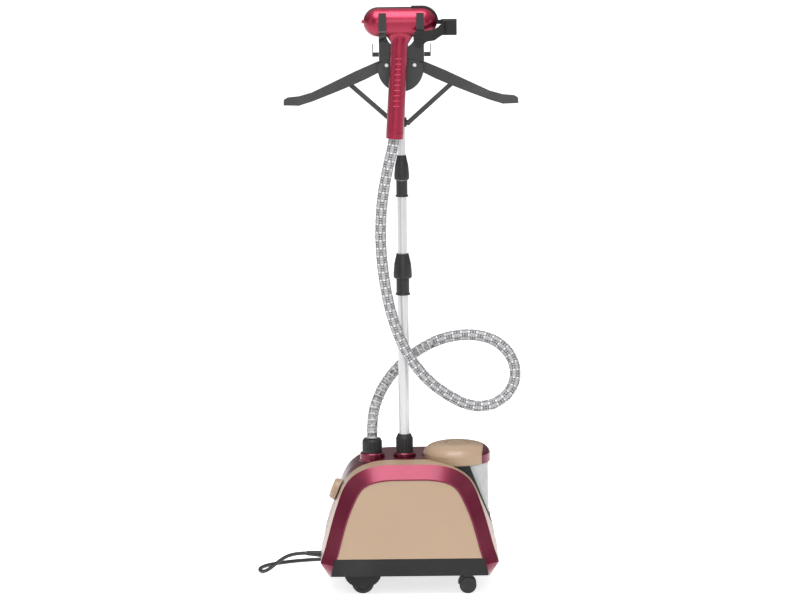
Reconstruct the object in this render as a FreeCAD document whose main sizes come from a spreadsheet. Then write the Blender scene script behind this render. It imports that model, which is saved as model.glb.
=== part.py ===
import FreeCAD, Part
import math
import os

import Sketcher

from FreeCAD import Vector

# Upright garment steamer: a wheeled boiler base, a telescopic pole with a folding hanger,
# a hand-held steam head on a fork, a steam hose and a mains lead.
# The origin is on the floor under the pole, +X to the tank side, -Y to the front panel, +Z up.

doc = FreeCAD.newDocument("garment_steamer")
sheet = doc.addObject("Spreadsheet::Sheet", "Sizes")

SIZES = {
    # base casing: the arch outline seen from the front, and its depth
    "casing_offset": 8, "casing_half_depth": 92, "frame_depth": 26, "wall": 2.6, "shell_split": -40,
    "arch_top": 262.5, "crown_half": 80, "crown_end": 256.5, "shoulder_half": 140.5, "shoulder_end": 191,
    "side_half": 173.8, "side_end": 78, "waist_half": 178.5, "waist_height": 64, "toe_half": 162.5,
    "toe_height": 39.5,
    "panel_top": 238, "panel_half": 147, "panel_end": 77, "panel_thick": 2.6,
    "skirt_top": 75.8, "skirt_top_half": 149.2, "skirt_low": 41, "skirt_low_half": 156.8,
    # tank and lid
    "tank_x": 105, "tank_radius": 64.5, "tank_wall": 2.4, "tank_bottom": 82, "tank_height": 170,
    "lid_radius": 67, "lid_bottom": 253.2, "lid_side": 17, "lid_crown": 289.5, "lid_recess": 24,
    "lid_seam_x": -142, "lid_seam_radius": 300,
    # sockets and nuts on top of the casing
    "hose_x": -65, "pole_socket_foot": 258.5, "hose_socket_foot": 254.5, "socket_top": 271,
    "pole_socket_radius": 22, "hose_socket_radius": 24.5,
    "nut_base": 271.3, "pole_nut_top": 308, "pole_nut_radius": 17.2, "hose_nut_top": 299,
    "hose_nut_radius": 20,
    # telescopic pole
    "lower_radius": 11, "middle_radius": 9.5, "upper_radius": 8, "tube_wall": 1,
    "lower_base": 240, "lower_top": 622, "middle_base": 455, "middle_top": 822, "upper_base": 640,
    "upper_top": 1062,
    # hanger
    "hub_height": 1047, "hub_radius": 45, "hub_front": -36, "rivet_spread": 27.7, "rivet_height": 1055,
    "ring_height": 938, "strut_pin_x": 103, "strut_pin_height": 1012,
    # hand-held head
    "head_y": -60, "head_height": 1143, "head_radius": 29, "head_half": 43.5, "handle_radius": 17,
    # wheels
    "wheel_x": -86, "wheel_y": 80, "wheel_radius": 22, "wheel_width": 18, "axle_radius": 3,
    "caster_x": 124, "caster_y": 84, "caster_radius": 17,
    # hose and mains lead
    "hose_radius": 11.3, "lead_radius": 3.75,
}
for row, (name, number) in enumerate(SIZES.items(), start=1):
    sheet.set(f"A{row}", name)
    sheet.set(f"B{row}", str(number))
    sheet.setAlias(f"B{row}", name)
doc.recompute()


def size(name):
    return float(sheet.get(name))


def worth(text):
    """The number an expression on the sheet comes to."""
    sheet.set("D1", "=" + str(text))
    sheet.recompute()
    number = float(sheet.get("D1"))
    sheet.clear("D1")
    return number


PIECES = []


def keep(item, label):
    """Name a finished sub-part and list it for export."""
    item.Label = label
    PIECES.append(item)
    return item


# ---------------------------------------------------------------- ways of making a piece

def turned(label, profile, x=0, y=0, angle=360):
    """A body revolved about an upright axis: the profile is (radius, height) pairs, each an expression
    on the sheet, held by a constraint of its own."""
    body = doc.addObject("PartDesign::Body", "Body_" + label)
    plane = next(o for o in body.Origin.OriginFeatures if o.Role == "XZ_Plane")
    sketch = body.newObject("Sketcher::SketchObject", "Profile_" + label)
    sketch.AttachmentSupport = [(plane, "")]
    sketch.MapMode = "FlatFace"
    corners = [Vector(worth(r), worth(z), 0) for r, z in profile]
    for i, corner in enumerate(corners):
        sketch.addGeometry(Part.LineSegment(corner, corners[(i + 1) % len(corners)]), False)
    for i in range(len(corners)):
        sketch.addConstraint(Sketcher.Constraint("Coincident", i, 2, (i + 1) % len(corners), 1))
    for i, (radius, height) in enumerate(profile):
        for kind, text, number in (("DistanceX", radius, corners[i].x),
                                   ("DistanceY", height, corners[i].y)):
            row = sketch.addConstraint(Sketcher.Constraint(kind, i, 1, number))
            sketch.setExpression(f"Constraints[{row}]", bound(text))
    revolution = body.newObject("PartDesign::Revolution", "Turn_" + label)
    revolution.Profile = sketch
    revolution.ReferenceAxis = (sketch, ["V_Axis"])
    revolution.Angle = angle
    body.Placement.Base = Vector(x, y, 0)
    return keep(body, label)


def bound(text):
    """The same expression, as another object reads it from the sheet."""
    words = str(text)
    for name in sorted(SIZES, key=len, reverse=True):
        words = words.replace(name, "<<" + name.upper() + ">>")
    for name in SIZES:
        words = words.replace("<<" + name.upper() + ">>", "Sizes." + name)
    return words


def tube(label, radius, wall, base, top):
    """A round tube on the pole's axis: two cylinders and a cut."""
    pair = []
    for name, grow in (("outer", 0), ("bore", 1)):
        item = doc.addObject("Part::Cylinder", f"{label}_{name}")
        item.setExpression("Radius", bound(radius) + (f" - {bound(wall)}" if grow else ""))
        item.setExpression("Height", f"{bound(top)} - {bound(base)} + {2 * grow}")
        item.setExpression("Placement.Base.z", f"{bound(base)} - {grow}")
        pair.append(item)
    cut = doc.addObject("Part::Cut", label)
    cut.Base, cut.Tool = pair
    return keep(cut, label)


def shape(label, solid):
    """A piece whose form none of the features above makes."""
    item = doc.addObject("Part::Feature", label)
    item.Shape = solid
    item.Placement = FreeCAD.Placement()
    return keep(item, label)


def box(low, high):
    return Part.makeBox(high[0] - low[0], high[1] - low[1], high[2] - low[2], Vector(*low))


def rod(start, end, radius):
    start, end = Vector(*start), Vector(*end)
    return Part.makeCylinder(radius, (end - start).Length, start, end - start)


def slab(points, y0, y1):
    """An outline in the XZ plane, carried from y0 to y1."""
    wire = Part.makePolygon([Vector(x, y0, z) for x, z in points + points[:1]])
    return Part.Face(wire).extrude(Vector(0, y1 - y0, 0))


def rounded(solid, radius, choose=lambda edge: True):
    return solid.makeFillet(radius, [edge for edge in solid.Edges if choose(edge)])


def spun(edges, x):
    """A solid turned about the upright axis at x, from the edges of half its section."""
    return Part.Face(Part.Wire(edges)).revolve(Vector(x, 0, 0), Vector(0, 0, 1), 360)


# ---------------------------------------------------------------- casing

offset = size("casing_offset")
half_depth = size("casing_half_depth")
frame_front = half_depth + size("frame_depth")
wall = size("wall")


ARCHES = {
    # the half outline as (half width, height), from the side's end up to the crest
    "outer": [(size("side_half"), size("side_end")), (153.5, 150),
              (size("shoulder_half"), size("shoulder_end")),
              (120, 232), (size("crown_half"), size("crown_end")), (0, size("arch_top"))],
    "shell": [(size("side_half") + 0.5, size("side_end")), (164.5, 137), (155, 165), (144, 191),
              (121, 233), (size("crown_half"), size("crown_end") + 0.5), (0, size("arch_top"))],
    "inner": [(size("panel_half"), size("panel_end")), (125.5, 156), (109.3, 196.5),
              (94, 221), (62, 235), (0, size("panel_top"))],
}
FEET = {
    # the two corners of each foot below the curve
    "outer": [(size("waist_half"), size("waist_height")), (size("toe_half"), size("toe_height"))],
    "shell": [(size("waist_half"), size("waist_height")), (size("toe_half"), size("toe_height"))],
    "inner": [(152.4, 63), (157.2, size("toe_height") + 1)],
}


def arch(kind, y, inset=0):
    """The closed arch outline at depth y: one smooth curve over the top, then the feet, each point moved
    inwards by the inset."""
    curve, feet = ARCHES[kind], FEET[kind]
    top, low = curve[-1][1], feet[-1][1] + inset

    def at(point, sign):
        x, z = point
        if z > 100:
            z -= inset * (z - 60) / (top - 60)
        return Vector(offset + sign * max(x - inset, 0), y, max(z, low))

    bow = Part.BSplineCurve()
    bow.interpolate([at(p, -1) for p in curve[:-1]] + [at(p, 1) for p in reversed(curve)])
    edges = [bow.toShape()]
    for sign in (1, -1):
        waist, toe = at(feet[0], sign), at(feet[1], sign)
        edges.append(Part.LineSegment(at(curve[0], sign), waist).toShape())
        edges.append(Part.LineSegment(waist, toe).toShape())
    edges.append(Part.LineSegment(at(feet[1], 1), at(feet[1], -1)).toShape())
    return Part.Wire(Part.__sortEdges__(edges))


def casing_block(grow, inset=0):
    """The casing's full form: widest at its middle, and as narrow as the frames at both ends."""
    middle = arch("shell", 0, inset)
    front = Part.makeLoft([arch("outer", -half_depth - grow, inset), middle], True, True)
    return front.fuse(mirrored(front))


def bevel_block(inset):
    """The front bevel: from the casing's outline forward to the panel's smaller outline."""
    front = arch("inner", -frame_front, inset)
    return Part.makeLoft([arch("outer", -half_depth, inset), front], True, True)


def mirrored(solid):
    return solid.mirror(Vector(0, 0, 0), Vector(0, 1, 0))


tank_x = size("tank_x")
hose_x = size("hose_x")
skirt_top, skirt_top_half = size("skirt_top"), size("skirt_top_half")
skirt_low, skirt_low_half = size("skirt_low"), size("skirt_low_half")
tank_seat = Part.makeCylinder(size("tank_radius") + 5.2, 300, Vector(tank_x, 0, size("tank_bottom") - 4.5))


def skirt(grow, top, low):
    """The skirt's outline from the front, between two heights."""
    slope = (skirt_low_half - skirt_top_half) / (skirt_top - skirt_low)
    at_top, at_low = skirt_low_half - slope * (top - skirt_low), skirt_low_half - slope * (low - skirt_low)
    return [(offset - at_top - grow, top), (offset - at_low - grow, low), (offset + at_low + grow, low),
            (offset + at_top + grow, top)]


foot_gap = slab(skirt(0.6, skirt_top + 0.2, 30), -140, 140)

# The two shells meet ahead of the sockets; the rear one carries the sockets, the dial and the tank's seat.
hollow = casing_block(1, wall)
tray_room = skirt_low_half + 0.6
openings = [
    rod((0, 0, 240), (0, 0, 300), 14.5),
    rod((0, 0, size("pole_socket_foot") - 0.1), (0, 0, 300), size("pole_socket_radius") + 1.6),
    rod((hose_x, 0, 240), (hose_x, 0, 300), 14.5),
    rod((hose_x, 0, size("hose_socket_foot") - 0.1), (hose_x, 0, 300), size("hose_socket_radius") + 1.6),
    rod((-150, 0, 200), (-100, 0, 180), 7),
    rod((-190, 60, 48), (-120, 60, 48), 7.4),
    tank_seat,
    box((offset - tray_room, -140, 30), (offset + tray_room, 140, 60)),
]
split = size("shell_split")
casing = casing_block(-0.2, 0.15).cut(hollow)
for opening in openings:
    casing = casing.cut(opening)
for name, y0, y1 in (("front_shell", -200, split - 0.1), ("rear_shell", split + 0.1, 200)):
    shape(name, casing.common(box((-250, y0, 0), (250, y1, 300))).removeSplitter())

bevel = bevel_block(0).cut(bevel_block(wall)).cut(foot_gap)
shape("front_frame", bevel)
shape("rear_frame", mirrored(bevel))

panel_wire = arch("inner", -frame_front + 1.2, wall + 0.3)
panel = Part.Face(panel_wire).extrude(Vector(0, size("panel_thick"), 0))
panel = panel.cut(box((-200, -140, 0), (200, 0, 76.3)))
shape("front_panel", panel)
shape("rear_panel", mirrored(panel))

# The dark tray closes the base: floor, skirt between the feet, and a fender over each fixed wheel.
wheel_x, wheel_y, wheel_radius = size("wheel_x"), size("wheel_y"), size("wheel_radius")
tray = slab(skirt(0, skirt_top, skirt_low), -frame_front + 1.2, frame_front - 1.2)
tray = tray.cut(slab(skirt(-3, skirt_top + 4, skirt_low + 3), -frame_front + 4.2, frame_front - 4.2))
caster_x, caster_y = size("caster_x"), size("caster_y")
tray_top = skirt_low + 3
for side in (-1, 1):
    lobe_sides = [
        Part.Arc(Vector(wheel_x + hand * 37, 0, skirt_low + 0.2), Vector(wheel_x + hand * 31, 0, 27),
                 Vector(wheel_x + hand * 20, 0, 18.5)) for hand in (-1, 1)
    ]
    lobe = Part.Wire(Part.__sortEdges__([
        lobe_sides[0].toShape(), lobe_sides[1].toShape(),
        Part.LineSegment(lobe_sides[0].EndPoint, lobe_sides[1].EndPoint).toShape(),
        Part.LineSegment(lobe_sides[0].StartPoint, lobe_sides[1].StartPoint).toShape(),
    ]))
    fender = Part.Face(lobe).extrude(Vector(0, 34, 0))
    fender.translate(Vector(0, side * wheel_y - 17, 0))
    tray = tray.fuse(fender)
    for half_width, radius in ((12, wheel_radius + 3), (14, size("axle_radius"))):
        tray = tray.cut(rod((wheel_x, side * wheel_y - half_width, wheel_radius),
                            (wheel_x, side * wheel_y + half_width, wheel_radius), radius))
    tray = tray.cut(rod((caster_x, side * caster_y, 30), (caster_x, side * caster_y, 50), 4.05))
shape("base_tray", tray.removeSplitter())

# The cradle is the dark wall round the tank; its top slopes away from the casing.
cradle_radius = size("tank_radius") + 4.6
cradle_base = size("tank_bottom") - 4
cradle = Part.makeCylinder(cradle_radius, 174, Vector(tank_x, 0, cradle_base))
cradle = cradle.cut(Part.makeCylinder(cradle_radius - 3, 180, Vector(tank_x, 0, cradle_base + 3)))
cradle = cradle.cut(Part.makeCylinder(8.4, 10, Vector(tank_x, 0, cradle_base - 2)))
slope = slab([(126.5, 262), (196, 74), (300, 74), (300, 262)], -100, 100)
shape("tank_cradle", cradle.cut(slope).cut(box((171.5, -100, 60), (200, 100, 300))))

# ---------------------------------------------------------------- tank, lid and valve

tank_bottom, tank_height = size("tank_bottom"), size("tank_height")
turned("water_tank", [
    ("9", "tank_bottom"), ("tank_radius - 3", "tank_bottom"), ("tank_radius", "tank_bottom + 3"),
    ("tank_radius", "tank_bottom + tank_height"), ("tank_radius - tank_wall", "tank_bottom + tank_height"),
    ("tank_radius - tank_wall", "tank_bottom + tank_wall"), ("9", "tank_bottom + tank_wall"),
], x=tank_x)
turned("tank_valve", [
    ("0.01", "tank_bottom - 3"), ("6", "tank_bottom - 3"), ("8.7", "tank_bottom - 0.6"),
    ("8.7", "tank_bottom + 3"),
    ("5", "tank_bottom + 4"), ("3", "tank_bottom + 14"), ("0.01", "tank_bottom + 14"),
], x=tank_x)

# The lid is a broad dome that lifts straight off. A shallow seam leaves a strip of it fixed to the tank's
# rim, and the strip is turned a little to the rear.
lid_radius, lid_bottom, lid_crown = size("lid_radius"), size("lid_bottom"), size("lid_crown")
LID_TURN = 28


def lid_point(radius, height):
    return Vector(tank_x + radius, 0, height)


corner = lid_point(lid_radius, lid_bottom + size("lid_side"))
shoulder = lid_point(lid_radius - 19, lid_crown - 3)
flat = lid_point(size("lid_recess") + 2, lid_crown)
dome = spun([
    Part.LineSegment(lid_point(0, lid_bottom), lid_point(lid_radius, lid_bottom)).toShape(),
    Part.LineSegment(lid_point(lid_radius, lid_bottom), corner).toShape(),
    Part.Arc(corner, lid_point(lid_radius - 6.5, lid_crown - 9.5), shoulder).toShape(),
    Part.Arc(shoulder, lid_point(lid_radius - 29, lid_crown - 0.7), flat).toShape(),
    Part.LineSegment(flat, lid_point(0, lid_crown)).toShape(),
    Part.LineSegment(lid_point(0, lid_crown), lid_point(0, lid_bottom)).toShape(),
], tank_x)
dome = dome.cut(Part.makeCylinder(lid_radius - 5.5, 24, Vector(tank_x, 0, lid_bottom - 1)))


def seam(grow):
    """What lies within the seam's curve, grown by the play it has."""
    return Part.makeCylinder(size("lid_seam_radius") + grow, 80, Vector(size("lid_seam_x"), 0, 230))


def set_round(solid):
    """Turns a piece of the lid about the tank's axis, so that its strip lies to the rear."""
    return solid.rotate(Vector(tank_x, 0, 0), Vector(0, 0, 1), LID_TURN)


lid = dome.common(seam(0)).cut(Part.makeCylinder(size("lid_recess"), 30, Vector(tank_x, 0, lid_crown - 6)))
shape("tank_lid", set_round(lid.removeSplitter()))
shape("lid_strip", set_round(dome.cut(seam(0.6)).removeSplitter()))
turned("lid_button", [
    ("0.01", "lid_crown - 3.4"), ("lid_recess - 1", "lid_crown - 3.4"), ("lid_recess - 1", "lid_crown - 1"),
    ("lid_recess - 3", "lid_crown - 0.2"), ("lid_recess - 6", "lid_crown - 1.2"),
    ("0.01", "lid_crown - 1.4"),
], x=tank_x)

# ---------------------------------------------------------------- inside the base

boiler = rod((-60, -45, 96), (-60, 45, 96), 34)
boiler = boiler.fuse(rod((-60, 0, 120), (-60, 0, 150), 9)).fuse(box((-92, -40, 60), (-28, 40, 66)))
shape("boiler", boiler.fuse(box((-66, -40, 64), (-54, 40, 80))))
boiler_feet = [rod((x, y, tray_top + 0.2), (x, y, 59.8), 5) for x in (-85, -35) for y in (-32, 32)]
shape("boiler_feet", Part.Compound(boiler_feet))
steam_path = Part.Wire([
    Part.LineSegment(Vector(-60, 0, 150.2), Vector(-60, 0, 190)).toShape(),
    Part.LineSegment(Vector(-60, 0, 190), Vector(hose_x, 0, 215)).toShape(),
    Part.LineSegment(Vector(hose_x, 0, 215), Vector(hose_x, 0, 253)).toShape(),
])
steam_end = Part.Wire([Part.Circle(Vector(-60, 0, 150.2), Vector(0, 0, 1), 7).toShape()])
shape("steam_pipe", steam_path.makePipeShell([steam_end], True, False, 1))
pump = box((6, -22, tray_top + 0.2), (58, 22, 50)).fuse(rod((10, 0, 62), (56, 0, 62), 14.5))
shape("water_pump", pump.fuse(rod((-4, 0, 62), (12, 0, 62), 4)))
board = box((-20, -100, 110), (22, -98.4, 200)).fuse(box((-12, -98.4, 120), (14, -84, 150)))
shape("control_board", board)

# ---------------------------------------------------------------- dial on the left flank

dial_axis = Vector(-0.927, 0, 0.375).normalize()
dial_seat = Vector(-134.5, 0, 194.4)


def dial_rod(start, length, radius, grow=0):
    return Part.makeCylinder(radius, length, dial_seat + dial_axis * start, dial_axis)


knob = Part.makeCone(22.5, 21, 9, dial_seat + dial_axis * 1.2, dial_axis)
knob = knob.fuse(Part.makeCone(21, 17.5, 3, dial_seat + dial_axis * 10.2, dial_axis))
for step in range(24):
    turn = FreeCAD.Rotation(dial_axis, 15 * step)
    spoke = turn.multVec(Vector(0, 1, 0)) * 23.4
    knob = knob.cut(Part.makeCylinder(1.6, 20, dial_seat + spoke, dial_axis))
shape("steam_dial", knob.fuse(dial_rod(-14, 16, 4)))
switch_box = dial_rod(-30, 15, 12).fuse(dial_rod(-17, 9, 6.6)).cut(dial_rod(-14.5, 30, 4.05))
shape("dial_switch", switch_box)

# ---------------------------------------------------------------- sockets and nuts

for name, centre, bore in (("pole_socket", 0, "lower_radius + 0.05"), ("hose_socket", hose_x, "8")):
    radius, foot = name + "_radius", name + "_foot"
    turned(name, [
        (bore, foot + " - 18"), ("14", foot + " - 18"), ("14", foot), (radius + " + 1.5", foot),
        (radius + " + 1.5", foot + " + 1.7"), (radius, foot + " + 3.2"), (radius, "socket_top - 2"),
        (radius + " - 2", "socket_top"), (bore, "socket_top"),
    ], x=centre)


def ribbed_nut(name, centre, top, bore, ribs, taper):
    """A clamp nut: a cylinder with a tapered top and grip grooves cut round its side."""
    base, radius = size("nut_base"), size(name + "_radius")
    body = Part.makeCylinder(radius, top - base - taper, Vector(centre, 0, base))
    body = body.fuse(Part.makeCone(radius, radius - 0.45 * taper, taper, Vector(centre, 0, top - taper)))
    body = body.cut(Part.makeCylinder(bore, 60, Vector(centre, 0, base - 1)))
    for step in range(ribs):
        angle = 2 * math.pi * step / ribs
        place = Vector(centre + (radius + 0.3) * math.cos(angle), (radius + 0.3) * math.sin(angle),
                       base + 5)
        body = body.cut(Part.makeCylinder(1.5, top - base, place))
    return shape(name, body)


ribbed_nut("pole_nut", 0, size("pole_nut_top"), size("lower_radius") + 0.05, 18, 9)
ribbed_nut("hose_nut", hose_x, size("hose_nut_top"), size("hose_radius") + 0.4, 22, 6)

# ---------------------------------------------------------------- telescopic pole

tube("pole_lower", "lower_radius", "tube_wall", "lower_base", "lower_top")
tube("pole_middle", "middle_radius", "tube_wall", "middle_base", "middle_top")
tube("pole_upper", "upper_radius", "tube_wall", "upper_base", "upper_top")

# Each clamp is a sleeve with a foot flange on the wider tube, and a twist grip above it.
for name, radius, bore, base, half in (("lower", "13", "lower_radius + 0.02", 591, 18.5),
                                       ("upper", "11.2", "middle_radius + 0.02", 789, 15)):
    slim = worth(radius)
    turned(name + "_sleeve", [
        (bore, str(base)), (str(slim + 1.8), str(base)), (str(slim + 1.8), str(base + 2.5)),
        (radius, str(base + 4)), (radius, str(base + 32)), (bore, str(base + 32)),
    ])
    inner = {"lower": "middle_radius + 0.05", "upper": "upper_radius + 0.05"}[name]
    turned(name + "_grip", [
        (inner, str(base + 33.4)), (str(half - 2), str(base + 33.4)), (str(half), str(base + 36)),
        (str(half), str(base + 44)), (str(half - 1.5), str(base + 62)), (str(half - 5), str(base + 78)),
        (str(half - 6), str(base + 83)), (inner, str(base + 83)),
    ])

# ---------------------------------------------------------------- hub, fork and folding hanger

hub_height, hub_radius = size("hub_height"), size("hub_radius")
spread, rivet_height = size("rivet_spread"), size("rivet_height")
hub_front = size("hub_front")
RIVET_RADIUS, RIVET_PLAY = 2.4, 0.05
hub = rod((0, hub_front, hub_height), (0, -25, hub_height), hub_radius)
crown = rod((0, hub_front - 1, hub_height - 60), (0, -24, hub_height - 60), 82.5)
hub = hub.common(crown)
hub = hub.fuse(rod((0, 0, 1030), (0, 0, 1068), 13))
hub = hub.fuse(box((-9, -26, 1030), (9, -8, 1060)))
hub = hub.cut(rod((0, 0, 1000), (0, 0, size("upper_top") + 0.2), size("upper_radius") + 0.03))
for side in (-1, 1):
    hub = hub.cut(rod((side * spread, -40, rivet_height), (side * spread, 0, rivet_height),
                      RIVET_RADIUS + RIVET_PLAY))
# A slot behind the hub's face takes the foot of the fork's plate.
FORK_LEFT, FORK_RIGHT, FORK_FOOT, FORK_TOP = -42.5, 46.5, 1062, 1112
PLATE_FRONT, PLATE_BACK = -34, -30.05
hub = hub.cut(box((FORK_LEFT - 0.2, PLATE_FRONT - 0.1, FORK_FOOT - 0.1),
                  (FORK_RIGHT + 0.2, PLATE_BACK + 0.1, 1100)))
shape("hanger_hub", hub.removeSplitter())
rivets = []
for x in (-spread, spread):
    head = rod((x, hub_front - 1.5, rivet_height), (x, hub_front - 0.02, rivet_height), 3.6)
    rivets.append(head.fuse(rod((x, hub_front - 0.02, rivet_height), (x, -5, rivet_height), RIVET_RADIUS)))
shape("hub_rivets", Part.Compound(rivets))


def fork_plate():
    """The fork's back plate: a U with a round notch between its prongs."""
    plate = box((FORK_LEFT, PLATE_FRONT, FORK_FOOT), (FORK_RIGHT, PLATE_BACK, FORK_TOP))
    return plate.cut(rod((1, PLATE_FRONT - 1, 1117), (1, PLATE_BACK + 1, 1117), 29))


fork = fork_plate()
for low, high in ((FORK_LEFT, -27.3), (31.5, FORK_RIGHT)):
    side_view = Part.Wire([
        Part.LineSegment(Vector(low, PLATE_FRONT, 1100), Vector(low, PLATE_FRONT, 1108)).toShape(),
        Part.Arc(Vector(low, PLATE_FRONT, 1108), Vector(low, -64, 1110.5),
                 Vector(low, -89.8, 1130)).toShape(),
        Part.LineSegment(Vector(low, -89.8, 1130), Vector(low, -91.6, 1163)).toShape(),
        Part.LineSegment(Vector(low, -91.6, 1163), Vector(low, -95, 1163)).toShape(),
        Part.LineSegment(Vector(low, -95, 1163), Vector(low, -93.4, 1128)).toShape(),
        Part.Arc(Vector(low, -93.4, 1128), Vector(low, -64, 1105.5),
                 Vector(low, PLATE_FRONT, 1100)).toShape(),
    ])
    fork = fork.fuse(Part.Face(side_view).extrude(Vector(high - low, 0, 0)))
shape("handset_fork", fork.removeSplitter())
pegs = []
for side, edge in ((-1, FORK_LEFT - 0.2), (1, FORK_RIGHT + 0.2)):
    inner, tip = edge + side * 11.4, edge + side * 13
    peg = box((min(edge, tip), -35, 1072), (max(edge, tip), -28, 1080))
    pegs.append(peg.fuse(box((min(inner, tip), -33, 1079), (max(inner, tip), -30, 1097))))
shape("side_hooks", Part.Compound(pegs))

STRUT_HALF = 4.4
strut_pin_x, strut_pin_z, ring_z = size("strut_pin_x"), size("strut_pin_height"), size("ring_height")


def arm_profile(side, inset, low):
    """The arm's outline from the front: a straight slope that levels out in a rounded tip."""
    top = [(18, 1067), (46, 1060), (90, 1041), (137, 1018.5), (176, 1000), (202, 992.6), (224, 990.6),
           (232, 986)]
    bottom = [(232.4, 976), (202, 975), (176, 983), (137, 998), (101, 1012.5), (68, 1026.8), (46, 1038),
              (18, 1046)]
    points = [(x, z - inset) for x, z in top] + [(x, z - low) for x, z in bottom]
    points = [(min(x, 232.4 - inset), z) for x, z in points]
    return [(side * x, z) for x, z in points]


for side, name in ((-1, "left"), (1, "right")):
    arm = slab(arm_profile(side, 0, 0), -23.8, -8.2)
    channel = slab(arm_profile(side, 3, 12), -21.2, -10.8)
    reach = [(side * 55, 900), (side * 222, 900), (side * 222, 1100), (side * 55, 1100)]
    arm = arm.cut(channel.common(slab(reach, -40, 0)))
    arm = arm.cut(rod((side * spread, -40, rivet_height), (side * spread, 0, rivet_height),
                      RIVET_RADIUS + RIVET_PLAY))
    arm = arm.fuse(rod((side * strut_pin_x, -21.4, strut_pin_z + 6),
                       (side * strut_pin_x, -10.6, strut_pin_z + 6), 1.5))
    shape("arm_" + name, arm)
    low = Vector(side * 13.2, -16, ring_z)
    high = Vector(side * strut_pin_x, -16, strut_pin_z + 6)
    run = (high - low).normalize()
    across = Vector(-run.z, 0, run.x)
    half = across * STRUT_HALF
    strut = Part.Face(Part.makePolygon([low + half, high + half, high - half, low - half, low + half]))
    strut = strut.extrude(Vector(0, 8, 0))
    strut.translate(Vector(0, -4, 0))
    for end in (low, high):
        strut = strut.fuse(rod((end.x, -20, end.z), (end.x, -12, end.z), STRUT_HALF))
    shape("strut_" + name, strut.cut(rod((high.x, -30, high.z), (high.x, 0, high.z), 1.55)))
ring_bore = rod((0, 0, 900), (0, 0, 1000), size("upper_radius") + 0.06)
ring = rod((0, 0, ring_z - 9), (0, 0, ring_z + 9), 11)
ears = box((-17.5, -11.6, ring_z - 5), (17.5, -7, ring_z + 5))
shape("strut_ring", ring.fuse(ears).cut(ring_bore))

# ---------------------------------------------------------------- hand-held head

head_y, head_z = size("head_y"), size("head_height")
head_radius, head_half = size("head_radius"), size("head_half")


def capsule(grow):
    solid = rod((-head_half, head_y, head_z), (head_half, head_y, head_z), head_radius + grow)
    for x in (-head_half, head_half):
        solid = solid.fuse(Part.makeSphere(head_radius + grow, Vector(x, head_y, head_z)))
    return solid


handle_radius = size("handle_radius")
grip_top, grip_end = Vector(0, head_y, head_z - 12), Vector(-12.5, head_y, 925)
grip_run = (grip_end - grip_top).normalize()


def grip_cone(grow):
    return Part.makeCone(handle_radius + grow, handle_radius + 0.4 + grow, (grip_end - grip_top).Length,
                         grip_top, grip_run)


def seam_side(y, lean, gap):
    """All that lies on one side of the seam between the handset's halves, which leans forwards as it rises."""
    corners = [(y, 880), (lean(880) + gap, 880), (lean(1200) + gap, 1200), (y, 1200), (y, 880)]
    outline = Part.makePolygon([Vector(-100, *corner) for corner in corners])
    return Part.Face(outline).extrude(Vector(200, 0, 0))


def seam_lean(z):
    return -51 - (z - 1105) * 3 / 11


throat = Part.makeCone(head_radius, handle_radius, 46, Vector(0, head_y, head_z - 1), grip_run)
whole = capsule(0).fuse(grip_cone(0)).fuse(throat)
steam_way = rod(tuple(grip_top), tuple(grip_end + grip_run * 3), 8.2)
shell = whole.cut(capsule(-2.6).fuse(steam_way))
button_x, button_z = -head_half - head_radius, head_z + 1
button_hole = rod((button_x - 9, head_y, button_z), (button_x + 12, head_y, button_z), 3.6)
front = shell.common(seam_side(-200, seam_lean, -0.1)).cut(button_hole)
shape("handset_front", front.removeSplitter())
plate_y = head_y + 22
rear_cover = shell.common(seam_side(0, seam_lean, 0.1)).cut(box((-100, plate_y, 1100), (100, 0, 1200)))
shape("handset_rear", rear_cover.cut(button_hole).removeSplitter())
plate = capsule(-0.4).common(box((-100, plate_y + 0.2, 1110), (100, 0, 1180)))
for column in range(-4, 5):
    for row in (-1, 1):
        plate = plate.cut(rod((column * 12, plate_y - 5, head_z + row * 5),
                              (column * 12, -20, head_z + row * 5), 1.8))
shape("steam_plate", plate)

# A raised oval pad down the grip's front carries the ribs.
PAD_HALF, RIB_HALF, RIB_PITCH, RIBS = 11, 6, 10.4, 10
pad_top, pad_end = grip_top + grip_run * 65, grip_top + grip_run * 149
pad_shape = slab([(pad_top.x - PAD_HALF, pad_top.z), (pad_end.x - PAD_HALF, pad_end.z),
                  (pad_end.x + PAD_HALF, pad_end.z), (pad_top.x + PAD_HALF, pad_top.z)], -90, head_y)
for end in (pad_top, pad_end):
    pad_shape = pad_shape.fuse(rod((end.x, -90, end.z), (end.x, head_y, end.z), PAD_HALF))
grip_pad = grip_cone(0.9).common(pad_shape)
for step in range(RIBS):
    centre = grip_top + grip_run * (60 + RIB_PITCH * step)
    rib_y = head_y - handle_radius - 0.6
    grip_pad = grip_pad.fuse(rod((centre.x - RIB_HALF, rib_y, centre.z),
                                 (centre.x + RIB_HALF, rib_y, centre.z), 1.5))
shape("grip_ribs", grip_pad.cut(grip_cone(0.02)).removeSplitter())
cuff = Part.makeCone(handle_radius + 0.5, handle_radius, 12, grip_end + grip_run * 0.2, grip_run)
shape("hose_cuff", cuff.cut(rod(tuple(grip_end - grip_run * 2), tuple(grip_end + grip_run * 30), 13.4)))
shape("end_button", rod((button_x - 3.4, head_y, button_z), (button_x + 5.2, head_y, button_z), 3.4))

# ---------------------------------------------------------------- garment clip on the head's right end

clip_pin = (94, -67)
clip_low, clip_high = 1117, 1146.5
PIN_RADIUS, LUG_RADIUS, KNUCKLE_RADIUS = 1.5, 2.9, 4.4
strap = capsule(2.4).cut(capsule(0.25)).common(box((22, -69, head_z - 4), (84, -47, 1190)))
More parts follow.
